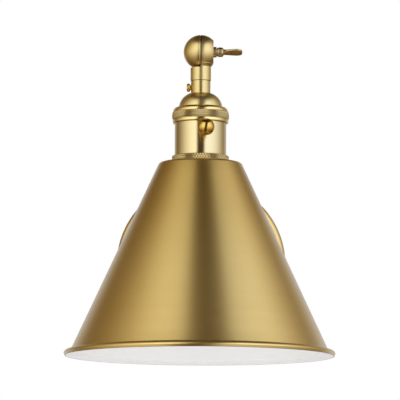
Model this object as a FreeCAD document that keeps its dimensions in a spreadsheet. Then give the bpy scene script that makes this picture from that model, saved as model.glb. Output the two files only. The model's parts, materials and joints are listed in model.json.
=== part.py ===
import FreeCAD, Part
import math
import os

import Sketcher
from FreeCAD import Placement, Rotation, Vector

# A wall light with a cone shade on a ball swivel. Millimetres and degrees, +Z up.
# The origin is the centre of the wall plate's back, on the wall; the light stands out along -Y.

SIZES = {
    # where the swivel stands
    "ball_height": 148.85,
    "ball_reach": 145.0,
    # clearances
    "turn_gap": 0.3,
    "fit_gap": 0.05,
    "overrun": 60.0,
    # wall plate, a spun pan
    "plate_radius": 67.0,
    "plate_depth": 22.0,
    "plate_sheet": 1.2,
    "plate_round": 5.0,
    # strap behind the plate, with a slot for each box screw
    "strap_length": 106.0,
    "strap_width": 20.0,
    "strap_sheet": 2.0,
    "strap_corner": 4.0,
    "slot_spacing": 79.4,
    "slot_length": 18.0,
    "slot_radius": 2.3,
    # studs and cap nuts that hold the plate
    "stud_spacing": 48.0,
    "stud_radius": 2.0,
    "stud_stand": 4.5,
    "stud_clearance": 0.25,
    "cap_nut_radius": 4.2,
    "cap_nut_height": 7.0,
    "cap_nut_wall": 1.2,
    # earth screw in the strap
    "earth_place": 14.2,
    "earth_radius": 1.7,
    "earth_head_radius": 3.2,
    "earth_head_height": 2.0,
    # threaded tubes and their nuts
    "nipple_radius": 4.85,
    "nipple_bore": 3.2,
    "nut_radius": 7.6,
    "nut_height": 3.0,
    "nipple_recess": 0.4,
    "plate_nipple_grip": 9.5,
    # arm
    "tube_radius": 6.35,
    "arm_run": 58.0,
    "bend_radius": 26.0,
    "collar_radius": 15.0,
    "collar_foot": 2.5,
    "collar_height": 9.5,
    "collar_neck_radius": 8.8,
    "collar_sweep": 7.5,
    # ball swivel: two halves that meet on the plane x = 0
    "ball_radius": 13.05,
    "ball_flat": 9.6,
    "neck_radius": 7.75,
    "neck_length": 22.25,
    "scoop_gap": 1.5,
    "arm_neck_length": 21.0,
    "arm_seat": 5.5,
    "neck_thread": 7.0,
    "wire_bore": 3.4,
    "chamber_depth": 5.6,
    "chamber_radius": 9.4,
    "screw_boss": 4.4,
    "shoulder_blend_radius": 9.5,
    "shoulder_blend_drop": 11.5,
    "shoulder_blend_slant": 2.3,
    "split_chamfer": 0.45,
    "edge_round": 0.4,
    # thumb screw and its washer
    "thumb_shank": 2.4,
    "thumb_reach": 8.6,
    "thumb_tip_gap": 0.6,
    "washer_radius": 4.05,
    "washer_length": 2.4,
    "washer_lip": 0.5,
    "thumb_bead_radius": 3.7,
    "thumb_bead_length": 5.2,
    "thumb_bead_round": 1.2,
    "thumb_waist_radius": 2.3,
    "thumb_waist_length": 1.0,
    "paddle_length": 13.4,
    "paddle_base": 9.2,
    "paddle_base_round": 3.4,
    "paddle_spread": 14.0,
    "paddle_thickness": 2.4,
    "paddle_corner": 4.6,
    "paddle_turn": 10.0,
    # socket cap
    "cap_neck_radius": 7.4,
    "cap_neck_length": 9.7,
    "dome_foot_radius": 8.4,
    "dome_radius": 16.5,
    "dome_height": 10.8,
    "dome_curve": 12.3,
    "cap_sheet": 1.0,
    "cap_flange": 1.0,
    "neck_nipple_tail": 4.2,
    # set screw in the cap's neck
    "set_screw_drop": 5.1,
    "set_screw_radius": 1.5,
    "set_neck_radius": 1.8,
    "set_neck_length": 0.5,
    "set_head_radius": 3.2,
    "set_head_height": 2.7,
    "set_head_round": 1.3,
    # ring that holds the cap on the shell
    "ring_height": 12.4,
    "ring_lip": 2.2,
    "ring_top_radius": 20.9,
    "ring_top_round": 3.3,
    "ring_bead_height": 3.6,
    "ring_groove": 0.35,
    "ring_band_radius": 21.3,
    "ring_band_height": 5.4,
    "ring_band_curve": 10.0,
    "ring_foot_radius": 21.1,
    "ring_foot_round": 1.3,
    # socket shell and what it holds
    "shell_radius": 19.5,
    "shell_sheet": 0.6,
    "shell_show": 24.65,
    "shell_skirt": 24.4,
    "sleeve_sheet": 0.5,
    "housing_flange": 2.5,
    "housing_radius": 15.8,
    "housing_depth": 26.6,
    "housing_round": 1.5,
    "terminal_place": 9.5,
    "terminal_radius": 1.6,
    "terminal_depth": 6.0,
    "terminal_head_radius": 2.7,
    "terminal_head_height": 1.8,
    "lamp_bore": 13.4,
    "lamp_sheet": 0.5,
    "lamp_depth": 25.0,
    "lamp_round": 3.0,
    "contact_hole": 6.5,
    "contact_radius": 4.2,
    "contact_foot": 0.8,
    "contact_tip_radius": 2.4,
    "contact_height": 2.6,
    "mouth_depth": 7.0,
    "mouth_grip": 1.2,
    "mouth_recess": 0.6,
    "mouth_lead": 1.6,
    # switch key
    "key_drop": 6.5,
    "key_turn": 8.0,
    "stem_radius": 2.0,
    "stem_inside": 12.0,
    "stem_grip": 5.0,
    "bushing_radius": 3.3,
    "bushing_stand": 2.6,
    "bushing_flange_radius": 4.4,
    "bushing_flange": 0.9,
    "knob_radius": 6.35,
    "knob_reach": 31.0,
    "knob_flat": 5.7,
    # rings that clamp the shade
    "clamp_radius": 21.6,
    "clamp_top_radius": 21.2,
    "clamp_height": 4.1,
    "clamp_bevel": 0.4,
    "lock_ring_height": 4.0,
    "lock_ring_round": 0.6,
    # shade
    "shade_sheet": 1.0,
    "shade_hole_gap": 0.2,
    "seat_margin": 0.4,
    "shoulder_radius": 31.2,
    "shoulder_drop": 1.3,
    "shoulder_round": 3.0,
    "cone_radius": 96.9,
    "cone_height": 143.2,
    "lip_reach": 5.1,
    "lip_drop": 4.2,
    "lip_round": 3.4,
}

doc = FreeCAD.newDocument("wall_light")
sheet = doc.addObject("Spreadsheet::Sheet", "Sizes")
for row, (alias, number) in enumerate(SIZES.items(), start=1):
    sheet.set(f"A{row}", alias)
    sheet.set(f"B{row}", str(number))
    sheet.setAlias(f"B{row}", alias)
doc.recompute()


class Size:
    """A number with the sheet expression that gives it, so sums of sizes stay bound to the sheet."""

    def __init__(self, text, value):
        self.text = text
        self.value = value

    def join(self, sign, other, value):
        return Size(f"({self.text} {sign} {other.text})", value)

    def __add__(self, other):
        other = as_size(other)
        return self.join("+", other, self.value + other.value)

    def __sub__(self, other):
        other = as_size(other)
        return self.join("-", other, self.value - other.value)

    def __mul__(self, other):
        other = as_size(other)
        return self.join("*", other, self.value * other.value)

    def __truediv__(self, other):
        other = as_size(other)
        return self.join("/", other, self.value / other.value)

    def __neg__(self):
        return Size(f"(-{self.text})", -self.value)

    def __rmul__(self, other):
        return as_size(other) * self


def as_size(thing):
    return thing if isinstance(thing, Size) else Size(repr(thing), float(thing))


def root(size):
    return Size(f"sqrt({size.text})", math.sqrt(size.value))


class Named:
    """The sheet's sizes by name: at.ball_radius is the cell with that alias."""

    def __getattr__(self, alias):
        return Size("Sizes." + alias, SIZES[alias])


at = Named()
ZERO = as_size(0)

# Bodies and their frames

ball = (ZERO, -at.ball_reach, at.ball_height)
wall = (ZERO, ZERO, ZERO)
pieces = []


def new_body(label, origin=wall, axis=None, angle=None):
    """A body whose local frame stands at origin, turned by angle about axis, both bound to the sheet."""
    body = doc.addObject("PartDesign::Body", label)
    body.Label = label
    if axis is not None:
        body.Placement = Placement(Vector(0, 0, 0), Rotation(axis, as_size(angle).value))
        body.setExpression("Placement.Rotation.Angle", as_size(angle).text)
    for letter, size in zip("xyz", origin):
        if size is not ZERO:
            body.setExpression("Placement.Base." + letter, size.text)
    pieces.append(body)
    return body


def wall_body(label):
    """A body whose local +Z points out of the wall and whose local +Y points up."""
    return new_body(label, wall, Vector(1, 0, 0), 90)


def ball_body(label):
    """A body in the frame of the ball's centre, whose Z axis is the lamp's axis."""
    return new_body(label, ball)


def key_body(label):
    """As ball_body, turned so that the switch key points along local -Y."""
    return new_body(label, ball, Vector(0, 0, 1), at.key_turn)


def new_sketch(body, role, lift=None, shift=None):
    """A sketch on one of the body's own origin planes, lifted along its normal or shifted along its x."""
    sketch = body.newObject("Sketcher::SketchObject", body.Label + "_sketch")
    plane = next(item for item in body.Origin.OriginFeatures if item.Role == role)
    sketch.AttachmentSupport = [(plane, "")]
    sketch.MapMode = "FlatFace"
    if lift is not None:
        sketch.setExpression("AttachmentOffset.Base.z", lift.text)
    if shift is not None:
        sketch.setExpression("AttachmentOffset.Base.x", shift.text)
    return sketch


def bind(sketch, kind, *places, size):
    index = sketch.addConstraint(Sketcher.Constraint(kind, *places, size.value))
    sketch.setExpression(f"Constraints[{index}]", size.text)


def pin_point(sketch, item, end, x, y):
    """Holds one point of a sketch at (x, y) from the sketch's origin."""
    if x is ZERO:
        sketch.addConstraint(Sketcher.Constraint("PointOnObject", item, end, -2))
    else:
        bind(sketch, "DistanceX", -1, 1, item, end, size=x)
    if y is ZERO:
        sketch.addConstraint(Sketcher.Constraint("PointOnObject", item, end, -1))
    else:
        bind(sketch, "DistanceY", -1, 1, item, end, size=y)


def add_circle(sketch, x, y, radius):
    circle = Part.Circle(Vector(x.value, y.value, 0), Vector(0, 0, 1), radius.value)
    item = sketch.addGeometry(circle)
    bind(sketch, "Radius", item, size=radius)
    if x is ZERO and y is ZERO:
        sketch.addConstraint(Sketcher.Constraint("Coincident", item, 3, -1, 1))
    else:
        pin_point(sketch, item, 3, x, y)


def corner(x, y, round_by=None, arc=None, left=True, half=False):
    """A corner of an outline. round_by rounds it; arc bends the run to the next corner.

    The arc's centre lies to the left of the way, or to its right. A half circle ends straight above
    or below its start.
    """
    return {"x": x, "y": y, "round": round_by, "arc": arc, "left": left, "half": half}


def arc_between(start, end, radius, left):
    """The short arc from start to end whose centre lies to the left or right of the way."""
    middle = (start + end) * 0.5
    way = end - start
    side = Vector(-way.y, way.x, 0).normalize() * (1 if left else -1)
    centre = middle + side * math.sqrt(max(radius ** 2 - (way.Length / 2) ** 2, 0))
    circle = Part.Circle(centre, Vector(0, 0, 1), radius)
    first = math.atan2(start.y - centre.y, start.x - centre.x)
    last = math.atan2(end.y - centre.y, end.x - centre.x)
    return Part.ArcOfCircle(circle, first, last) if left else Part.ArcOfCircle(circle, last, first)


def add_outline(sketch, corners, closed=True):
    """A chain of lines and arcs through the corners, with tangent arcs at the rounded ones."""
    spots = [Vector(item["x"].value, item["y"].value, 0) for item in corners]
    count = len(corners)
    rounds = {}
    for index, item in enumerate(corners):
        if item["round"] is None:
            continue
        here = spots[index]
        back = (spots[index - 1] - here).normalize()
        ahead = (spots[(index + 1) % count] - here).normalize()
        half = back.getAngle(ahead) / 2
        reach = item["round"].value / math.tan(half)
        left = back.cross(ahead).z < 0
        arc = arc_between(here + back * reach, here + ahead * reach, item["round"].value, left)
        rounds[index] = {"in": here + back * reach, "out": here + ahead * reach, "arc": arc, "left": left}
    runs = []
    for index in range(count if closed else count - 1):
        following = (index + 1) % count
        start = rounds[index]["out"] if index in rounds else spots[index]
        end = rounds[following]["in"] if following in rounds else spots[following]
        bend = corners[index]["arc"]
        if bend is None:
            item = sketch.addGeometry(Part.LineSegment(start, end))
            runs.append((item, 1, 2))
        else:
            left = corners[index]["left"]
            item = sketch.addGeometry(arc_between(start, end, bend.value, left))
            runs.append((item, 1, 2) if left else (item, 2, 1))
            if corners[index]["half"]:
                bind(sketch, "DistanceX", -1, 1, item, 3, size=corners[index]["x"])
            else:
                bind(sketch, "Radius", item, size=bend)
    for index, item in enumerate(corners):
        x, y = item["x"], item["y"]
        before = runs[index - 1] if closed or index > 0 else None
        after = runs[index] if closed or index < count - 1 else None
        if index in rounds:
            turn = sketch.addGeometry(rounds[index]["arc"])
            first, last = (1, 2) if rounds[index]["left"] else (2, 1)
            sketch.addConstraint(Sketcher.Constraint("Tangent", before[0], before[2], turn, first))
            sketch.addConstraint(Sketcher.Constraint("Tangent", after[0], after[1], turn, last))
            bind(sketch, "Radius", turn, size=item["round"])
            tip = sketch.addGeometry(Part.Point(spots[index]), True)
            sketch.addConstraint(Sketcher.Constraint("PointOnObject", tip, 1, before[0]))
            sketch.addConstraint(Sketcher.Constraint("PointOnObject", tip, 1, after[0]))
            pin_point(sketch, tip, 1, x, y)
        elif before is None:
            pin_point(sketch, after[0], after[1], x, y)
        else:
            if after is not None:
                join = Sketcher.Constraint("Coincident", before[0], before[2], after[0], after[1])
                sketch.addConstraint(join)
            pin_point(sketch, before[0], before[2], x, y)


def box_outline(left, right, low, high):
    return [corner(left, low), corner(right, low), corner(right, high), corner(left, high)]


def finish_feature(body, feature, removes):
    """Recomputes the body and checks that the feature added or removed material."""
    before = body.Shape.Volume if body.Shape.Solids else 0
    body.Tip = feature
    doc.recompute()
    change = body.Shape.Volume - before
    if (change >= 0) if removes else (change <= 0):
        raise RuntimeError(f"{feature.Label} changes nothing in {body.Label}")
    return feature


def revolve(body, corners, role="XZ_Plane", axis="V_Axis", removes=False, half=False, shift=None):
    """Turns an outline about an axis of its sketch: a Revolution, or a Groove where it removes material.

    It turns through a full circle, or through a quarter to each side of the sketch for half a turn.
    """
    sketch = new_sketch(body, role, shift=shift)
    add_outline(sketch, corners)
    kind = "Groove" if removes else "Revolution"
    feature = body.newObject("PartDesign::" + kind, body.Label + "_" + kind.lower())
    feature.Profile = sketch
    feature.ReferenceAxis = (sketch, [axis])
    feature.Midplane = half
    feature.Angle = 180 if half else 360
    return finish_feature(body, feature, removes)


def groove(body, corners, role="XZ_Plane", axis="V_Axis"):
    return revolve(body, corners, role, axis, removes=True)


def pad(body, sketch, length, midplane=False, backwards=False):
    feature = body.newObject("PartDesign::Pad", body.Label + "_pad")
    feature.Profile = sketch
    feature.Midplane = midplane
    feature.Reversed = backwards
    feature.setExpression("Length", length.text)
    return finish_feature(body, feature, removes=False)


def pocket(body, sketch, length, midplane=False, backwards=False):
    feature = body.newObject("PartDesign::Pocket", body.Label + "_pocket")
    feature.Profile = sketch
    feature.Midplane = midplane
    feature.Reversed = backwards
    feature.setExpression("Length", length.text)
    return finish_feature(body, feature, removes=True)


def pair_up(body, *features):
    """Repeats features half a turn round the body's Z axis."""
    pattern = body.newObject("PartDesign::PolarPattern", body.Label + "_pair")
    axis = next(item for item in body.Origin.OriginFeatures if item.Role == "Z_Axis")
    pattern.Originals = list(features)
    pattern.Axis = (axis, [""])
    pattern.Angle = 360
    pattern.Occurrences = 2
    body.Tip = pattern
    doc.recompute()


# Heights along the lamp's axis, from the ball's centre down

neck_end = -at.neck_length
cap_neck_end = neck_end - at.cap_neck_length
dome_end = cap_neck_end - at.dome_height
flange_top = dome_end - at.ring_lip
shell_top = flange_top - at.cap_flange
ring_end = dome_end - at.ring_height
clamp_top = ring_end - at.shell_show
shade_top = clamp_top - at.clamp_height
shell_end = clamp_top - at.shell_skirt
housing_end = shell_top - at.housing_depth
lamp_end = housing_end - at.lamp_depth
key_height = ring_end - at.key_drop
shell_inside = at.shell_radius - at.shell_sheet
mouth_end = shell_end + at.mouth_recess
sleeve_end = mouth_end + at.mouth_depth / 2
sleeve_top = shell_top - at.housing_flange
sleeve_outside = shell_inside - at.fit_gap
sleeve_inside = sleeve_outside - at.sleeve_sheet
nipple_hole = at.nipple_radius + at.fit_gap

# Wall side


def make_wall_plate():
    body = wall_body("wall_plate")
    inner_radius = at.plate_radius - at.plate_sheet
    revolve(body, [
        corner(nipple_hole, at.plate_depth),
        corner(at.plate_radius, at.plate_depth, round_by=at.plate_round),
        corner(at.plate_radius, ZERO),
        corner(inner_radius, ZERO),
        corner(inner_radius, at.plate_depth - at.plate_sheet, round_by=at.plate_round - at.plate_sheet),
        corner(nipple_hole, at.plate_depth - at.plate_sheet),
    ])
    sketch = new_sketch(body, "XY_Plane")
    add_circle(sketch, at.stud_spacing / 2, ZERO, at.stud_radius + at.stud_clearance)
    hole = pocket(body, sketch, at.overrun, midplane=True)
    pair_up(body, hole)


def make_mounting_strap():
    body = wall_body("mounting_strap")
    sketch = new_sketch(body, "XY_Plane")
    half_length = at.strap_length / 2
    half_width = at.strap_width / 2
    add_outline(sketch, [
        corner(x, y, round_by=at.strap_corner)
        for x, y in ((-half_length, -half_width), (half_length, -half_width),
                     (half_length, half_width), (-half_length, half_width))
    ])
    add_circle(sketch, ZERO, ZERO, nipple_hole)
    add_circle(sketch, -at.earth_place, ZERO, at.earth_radius + at.fit_gap)
    pad(body, sketch, at.strap_sheet)
    slot = new_sketch(body, "XY_Plane")
    middle = at.slot_spacing / 2
    straight = at.slot_length / 2 - at.slot_radius
    add_outline(slot, [
        corner(middle - straight, -at.slot_radius),
        corner(middle + straight, -at.slot_radius, arc=at.slot_radius, half=True),
        corner(middle + straight, at.slot_radius),
        corner(middle - straight, at.slot_radius, arc=at.slot_radius, half=True),
    ])
    slot_cut = pocket(body, slot, at.overrun, midplane=True)
    tapped = new_sketch(body, "XY_Plane")
    add_circle(tapped, at.stud_spacing / 2, ZERO, at.stud_radius + at.fit_gap)
    stud_cut = pocket(body, tapped, at.overrun, midplane=True)
    pair_up(body, slot_cut, stud_cut)


def make_nipple(body, top, end):
    """A threaded tube from top to end along the body's Z axis."""
    revolve(body, box_outline(at.nipple_bore, at.nipple_radius, end, top))


def make_nut(body, low):
    """A hexagon nut on a threaded tube, with its lower face at low."""
    sketch = new_sketch(body, "XY_Plane", lift=low)
    flat_share = math.sqrt(3) / 2
    add_outline(sketch, [
        corner(at.nut_radius, ZERO),
        corner(at.nut_radius / 2, at.nut_radius * flat_share),
        corner(-at.nut_radius / 2, at.nut_radius * flat_share),
        corner(-at.nut_radius, ZERO),
        corner(-at.nut_radius / 2, -at.nut_radius * flat_share),
        corner(at.nut_radius / 2, -at.nut_radius * flat_share),
    ])
    add_circle(sketch, ZERO, ZERO, nipple_hole)
    pad(body, sketch, at.nut_height)


def make_plate_studs():
    body = wall_body("plate_studs")
    sketch = new_sketch(body, "XY_Plane")
    add_circle(sketch, at.stud_spacing / 2, ZERO, at.stud_radius)
    pair_up(body, pad(body, sketch, at.plate_depth + at.stud_stand))


def make_plate_cap_nuts():
    """Two domed nuts on the studs, each a blind cup turned about its stud."""
    body = wall_body("plate_cap_nuts")
    top = at.plate_depth + at.cap_nut_height
    bore = at.stud_radius + at.fit_gap
    shoulder = top - at.cap_nut_radius
    nut = revolve(body, [
        corner(bore, at.plate_depth),
        corner(at.cap_nut_radius, at.plate_depth),
        corner(at.cap_nut_radius, shoulder, arc=at.cap_nut_radius),
        corner(ZERO, top),
        corner(ZERO, top - at.cap_nut_wall),
        corner(bore, top - at.cap_nut_wall),
    ], shift=at.stud_spacing / 2)
    pair_up(body, nut)


def make_earth_screw():
    body = new_body("earth_screw", (-at.earth_place, ZERO, ZERO), Vector(1, 0, 0), 90)
    head = at.strap_sheet + at.earth_head_height
    revolve(body, [
        corner(ZERO, ZERO),
        corner(at.earth_radius, ZERO),
        corner(at.earth_radius, at.strap_sheet),
        corner(at.earth_head_radius, at.strap_sheet),
        corner(at.earth_head_radius, head),
        corner(ZERO, head),
    ])


def make_arm_collar():
    """A turned collar that covers the arm's foot on the plate, with a hollow sweep up to its neck."""
    body = wall_body("arm_collar")
    bore = at.tube_radius + at.fit_gap
    foot = at.plate_depth + at.collar_foot
    top = at.plate_depth + at.collar_height
    revolve(body, [
        corner(bore, at.plate_depth),
        corner(at.collar_radius, at.plate_depth),
        corner(at.collar_radius, foot, arc=at.collar_sweep, left=False),
        corner(at.collar_neck_radius, top),
        corner(bore, top),
    ])


arm_end = at.ball_reach - at.arm_neck_length + at.arm_seat


def make_arm_tube():
    """A bent tube: out of the plate, up behind the lamp and forward into the swivel's rear neck."""
    body = new_body("arm_tube")
    path = new_sketch(body, "YZ_Plane")
    add_outline(path, [
        corner(-at.plate_depth, ZERO),
        corner(-at.arm_run, ZERO, round_by=at.bend_radius),
        corner(-at.arm_run, at.ball_height, round_by=at.bend_radius),
        corner(-arm_end, at.ball_height),
    ], closed=False)
    section = new_sketch(body, "XZ_Plane", lift=at.plate_depth)
    add_circle(section, ZERO, ZERO, at.tube_radius)
    add_circle(section, ZERO, ZERO, nipple_hole)
    pipe = body.newObject("PartDesign::AdditivePipe", "arm_tube_pipe")
    pipe.Profile = section
    pipe.Spine = path
    finish_feature(body, pipe, removes=False)


# Ball swivel


def ball_half(body, side, flat):
    """Half of the ball about the X axis, on the side given by +1 or -1, cut off flat if flat is given.

    Its edge at the split is chamfered, so that the two halves meet in a fine groove.
    """
    radius = at.ball_radius
    chamfer = at.split_chamfer
    chamfer_radius = root(radius * radius - chamfer * chamfer)
    outline = [
        corner(ZERO, ZERO),
        corner(ZERO, radius - chamfer),
        corner(side * chamfer, chamfer_radius, arc=radius, left=side < 0),
    ]
    if flat is None:
        outline.append(corner(side * radius, ZERO))
    else:
        flat_radius = root(radius * radius - flat * flat)
        outline.append(corner(side * flat, flat_radius))
        outline.append(corner(side * flat, ZERO))
    revolve(body, outline, "XY_Plane", "H_Axis")


def scoop(body, side):
    """Clears the neck where the other half of the ball turns in it, with an open crescent between them."""
    radius = at.ball_radius + at.scoop_gap
    groove(body, [
        corner(ZERO, ZERO),
        corner(ZERO, radius, arc=radius, left=side < 0),
        corner(side * radius, ZERO),
    ], "XY_Plane", "H_Axis")


def hollow_half(body, side, screw_radius, screw_depth):
    """Cuts the ring-shaped wire chamber round the screw's boss, and the screw's hole."""
    depth = side * at.chamber_depth
    groove(body, [
        corner(ZERO, at.screw_boss),
        corner(ZERO, at.chamber_radius),
        corner(depth, at.chamber_radius),
        corner(depth, at.screw_boss),
    ], "XY_Plane", "H_Axis")
    groove(body, [
        corner(ZERO, ZERO),
        corner(ZERO, screw_radius),
        corner(side * screw_depth, screw_radius),
        corner(side * screw_depth, ZERO),
    ], "XY_Plane", "H_Axis")


chamber_middle = (at.screw_boss + at.chamber_radius) / 2


def make_swivel_arm_half():
    body = ball_body("swivel_arm_half")
    ball_half(body, -1, None)
    revolve(body, box_outline(ZERO, at.neck_radius, ZERO, at.arm_neck_length), "XY_Plane")
    scoop(body, 1)
    seat = at.tube_radius + at.fit_gap
    seat_start = at.arm_neck_length - at.arm_seat
    groove(body, [
        corner(ZERO, chamber_middle),
        corner(at.wire_bore, chamber_middle),
        corner(at.wire_bore, seat_start),
        corner(seat, seat_start),
        corner(seat, at.arm_neck_length),
        corner(ZERO, at.arm_neck_length),
    ], "XY_Plane")
    hollow_half(body, -1, at.thumb_shank + at.fit_gap, at.thumb_reach + at.thumb_tip_gap)


def make_swivel_head_half():
    body = ball_body("swivel_head_half")
    ball_half(body, 1, at.ball_flat)
    revolve(body, [
        corner(ZERO, ZERO),
        corner(ZERO, neck_end),
        corner(at.neck_radius, neck_end, round_by=at.edge_round),
        corner(at.neck_radius, ZERO),
    ])
    scoop(body, -1)
    blend_low = -at.shoulder_blend_drop
    revolve(body, [
        corner(ZERO, ZERO),
        corner(ZERO, blend_low),
        corner(at.neck_radius, blend_low),
        corner(at.shoulder_blend_radius, blend_low + at.shoulder_blend_slant),
        corner(at.shoulder_blend_radius, ZERO),
    ], half=True)
    thread_end = neck_end + at.neck_thread
    groove(body, [
        corner(ZERO, neck_end),
        corner(nipple_hole, neck_end),
        corner(nipple_hole, thread_end),
        corner(at.wire_bore, thread_end),
        corner(at.wire_bore, -chamber_middle),
        corner(ZERO, -chamber_middle),
    ])
    hollow_half(body, 1, at.thumb_shank + at.turn_gap, at.ball_flat)


# Thumb screw. Its paddle stands turned about the screw's own axis.

thumb_shoulder = at.ball_flat + at.washer_length


def thumb_body(label):
    return new_body(label, ball, Vector(1, 0, 0), -at.paddle_turn)


def make_thumb_washer():
    body = thumb_body("thumb_washer")
    bore = at.thumb_shank + at.fit_gap
    revolve(body, [
        corner(at.ball_flat, bore),
        corner(at.ball_flat, at.washer_radius),
        corner(thumb_shoulder, at.washer_radius, round_by=at.washer_lip),
        corner(thumb_shoulder, bore),
    ], "XY_Plane", "H_Axis")


def make_thumb_screw():
    """A screw with a bead, a waist and a flat pear-shaped paddle that widens to its round end."""
    body = thumb_body("thumb_screw")
    bead_end = thumb_shoulder + at.thumb_bead_length
    waist_end = bead_end + at.thumb_waist_length
    revolve(body, [
        corner(-at.thumb_reach, ZERO),
        corner(-at.thumb_reach, at.thumb_shank),
        corner(thumb_shoulder, at.thumb_shank),
        corner(thumb_shoulder, at.thumb_bead_radius, round_by=at.thumb_bead_round),
        corner(bead_end, at.thumb_bead_radius, round_by=at.thumb_bead_round),
        corner(bead_end, at.thumb_waist_radius),
        corner(waist_end + at.paddle_thickness, at.thumb_waist_radius),
        corner(waist_end + at.paddle_thickness, ZERO),
    ], "XY_Plane", "H_Axis")
    sketch = new_sketch(body, "XY_Plane")
    half_base = at.paddle_base / 2
    half_spread = at.paddle_spread / 2
    paddle_end = waist_end + at.paddle_length
    add_outline(sketch, [
        corner(waist_end, -half_base, round_by=at.paddle_base_round),
        corner(paddle_end, -half_spread, round_by=at.paddle_corner),
        corner(paddle_end, half_spread, round_by=at.paddle_corner),
        corner(waist_end, half_base, round_by=at.paddle_base_round),
    ])
    pad(body, sketch, at.paddle_thickness, midplane=True)


# Socket cap and ring


def make_socket_cap():
    """A spun cap: a neck bored for the threaded tube, a domed shoulder and a flange under the ring."""
    body = ball_body("socket_cap")
    inner_top = cap_neck_end - at.cap_sheet
    inner_radius = at.dome_radius - at.cap_sheet
    revolve(body, [
        corner(nipple_hole, neck_end),
        corner(nipple_hole, inner_top),
        corner(at.dome_foot_radius, inner_top, arc=at.dome_curve - at.cap_sheet, left=False),
        corner(inner_radius, dome_end),
        corner(inner_radius, shell_top),
        corner(at.shell_radius, shell_top),
        corner(at.shell_radius, flange_top),
        corner(at.dome_radius, flange_top),
        corner(at.dome_radius, dome_end, arc=at.dome_curve),
        corner(at.dome_foot_radius, cap_neck_end),
        corner(at.cap_neck_radius, cap_neck_end),
        corner(at.cap_neck_radius, neck_end, round_by=at.edge_round),
    ])
    sketch = new_sketch(body, "YZ_Plane")
    add_circle(sketch, ZERO, neck_end - at.set_screw_drop, at.set_screw_radius + at.fit_gap)
    pocket(body, sketch, at.overrun)


def make_set_screw():
    """A screw through the cap's neck, along local -X from the threaded tube, with a mushroom head."""
    body = new_body("set_screw", (ZERO, -at.ball_reach, at.ball_height + neck_end - at.set_screw_drop))
    neck_start = -at.cap_neck_radius
    head_start = neck_start - at.set_neck_length
    head_end = head_start - at.set_head_height
    tip = -nipple_hole
    revolve(body, [
        corner(tip, ZERO),
        corner(tip, at.set_screw_radius),
        corner(neck_start, at.set_screw_radius),
        corner(neck_start, at.set_neck_radius),
        corner(head_start, at.set_neck_radius),
        corner(head_start, at.set_head_radius, round_by=at.set_head_round),
        corner(head_end, at.set_head_radius, round_by=at.set_head_round),
        corner(head_end, ZERO),
    ], "XY_Plane", "H_Axis")


def make_cap_ring():
    """The ring that screws the cap on: a rounded top bead, a crowned band between grooves and a foot."""
    body = ball_body("cap_ring")
    lip_radius = at.dome_radius + at.fit_gap
    bore = at.shell_radius + at.fit_gap
    bead_end = dome_end - at.ring_bead_height
    band_top = bead_end - at.ring_groove
    band_end = band_top - at.ring_band_height
    groove_radius = at.ring_top_radius - at.ring_groove
    revolve(body, [
        corner(lip_radius, flange_top),
        corner(bore, flange_top),
        corner(bore, ring_end),
        corner(at.ring_foot_radius, ring_end, round_by=at.ring_foot_round),
        corner(at.ring_foot_radius, band_end - at.ring_groove),
        corner(groove_radius, band_end),
        corner(at.ring_band_radius, band_end, arc=at.ring_band_curve),
        corner(at.ring_band_radius, band_top),
        corner(groove_radius, band_top),
        corner(at.ring_top_radius, bead_end),
        corner(at.ring_top_radius, dome_end, round_by=at.ring_top_round),
        corner(lip_radius, dome_end),
    ])


# Socket


def key_hole(body, radius):
    """A round hole for the switch key through the side that faces local -Y."""
    sketch = new_sketch(body, "XZ_Plane")
    add_circle(sketch, ZERO, key_height, radius)
    pocket(body, sketch, at.overrun, backwards=True)


def make_socket_shell():
    body = key_body("socket_shell")
    revolve(body, box_outline(shell_inside, at.shell_radius, shell_end, shell_top))
    key_hole(body, at.bushing_radius + at.fit_gap)


def make_insulating_sleeve():
    body = key_body("insulating_sleeve")
    revolve(body, box_outline(sleeve_inside, sleeve_outside, sleeve_end, sleeve_top))
    key_hole(body, at.bushing_radius + at.turn_gap)


def make_switch_housing():
    """The moulded block that holds the switch, with a flange clamped under the cap."""
    body = key_body("switch_housing")
    revolve(body, [
        corner(ZERO, shell_top),
        corner(ZERO, housing_end),
        corner(at.housing_radius, housing_end, round_by=at.housing_round),
        corner(at.housing_radius, sleeve_top),
        corner(sleeve_outside, sleeve_top),
        corner(sleeve_outside, shell_top),
    ])
    sketch = new_sketch(body, "XZ_Plane")
    add_circle(sketch, ZERO, key_height, at.stem_radius + at.fit_gap)
    pocket(body, sketch, at.overrun, backwards=True)
    holes = new_sketch(body, "XY_Plane", lift=shell_top)
    add_circle(holes, at.terminal_place, ZERO, at.terminal_radius + at.fit_gap)
    pair_up(body, pocket(body, holes, at.terminal_depth))


def make_terminal_screws():
    body = key_body("terminal_screws")
    shank = new_sketch(body, "XY_Plane", lift=shell_top)
    add_circle(shank, at.terminal_place, ZERO, at.terminal_radius)
    shank_pad = pad(body, shank, at.terminal_depth - at.fit_gap, backwards=True)
    head = new_sketch(body, "XY_Plane", lift=shell_top)
    add_circle(head, at.terminal_place, ZERO, at.terminal_head_radius)
    head_pad = pad(body, head, at.terminal_head_height)
    pair_up(body, shank_pad, head_pad)


def make_screw_shell():
    """The threaded cup that the lamp screws into, with a hole for the contact in its closed end."""
    body = key_body("screw_shell")
    outside = at.lamp_bore + at.lamp_sheet
    inner_top = housing_end - at.lamp_sheet
    revolve(body, [
        corner(at.contact_hole, housing_end),
        corner(at.contact_hole, inner_top),
        corner(at.lamp_bore, inner_top, round_by=at.lamp_round),
        corner(at.lamp_bore, lamp_end),
        corner(outside, lamp_end),
        corner(outside, housing_end, round_by=at.lamp_round + at.lamp_sheet),
    ])


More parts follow.
